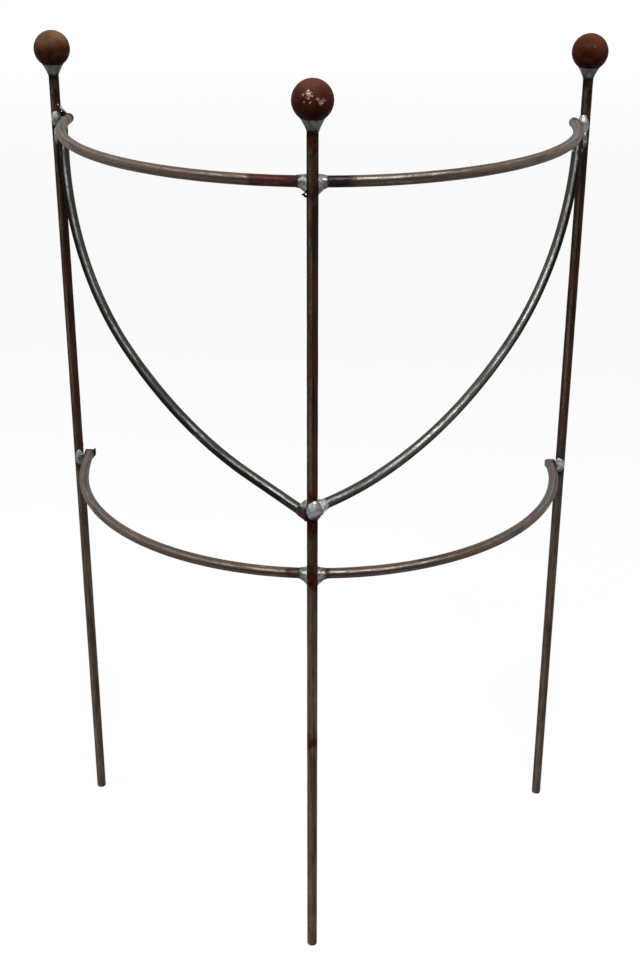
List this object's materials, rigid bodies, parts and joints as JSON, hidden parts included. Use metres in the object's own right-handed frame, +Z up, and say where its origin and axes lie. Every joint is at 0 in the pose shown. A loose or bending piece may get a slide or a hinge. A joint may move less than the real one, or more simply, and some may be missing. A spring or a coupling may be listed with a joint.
{
  "type": "half-round plant support",
  "caption": "Freestanding half-round garden plant support: welded round bar uprights with ball tops, half rings and curved braces, pushed into soil in front of a plant.",
  "frame": {"origin": "on the ground, in the middle of the support's footprint box", "axes": "+X to the right seen from the front, +Y to the open back, +Z up"},
  "size_m": [0.5546, 0.304, 0.8755],
  "materials": {
    "raw_bar": "raw hot-rolled bar with dark mill scale, some red-brown rust",
    "ball_oxide": "forged steel with a matt red-brown oxide skin",
    "weld_metal": "bare grey weld metal, slightly rippled"
  },
  "bodies": {
    "root": {"left_upright": "raw_bar", "centre_upright": "raw_bar", "right_upright": "raw_bar", "left_ball": "ball_oxide", "centre_ball": "ball_oxide", "right_ball": "ball_oxide", "top_half_ring": "raw_bar", "lower_half_ring": "raw_bar", "left_brace": "raw_bar", "right_brace": "raw_bar", "left_neck_weld": "weld_metal", "centre_neck_weld": "weld_metal", "right_neck_weld": "weld_metal", "left_top_ring_weld": "weld_metal", "right_top_ring_weld": "weld_metal", "left_lower_ring_weld": "weld_metal", "right_lower_ring_weld": "weld_metal", "centre_top_left_weld": "weld_metal", "centre_top_right_weld": "weld_metal", "centre_lower_left_weld": "weld_metal", "centre_lower_right_weld": "weld_metal", "left_brace_top_weld": "weld_metal", "right_brace_top_weld": "weld_metal", "left_brace_foot_weld": "weld_metal", "right_brace_foot_weld": "weld_metal"}
  },
  "joints": []
}
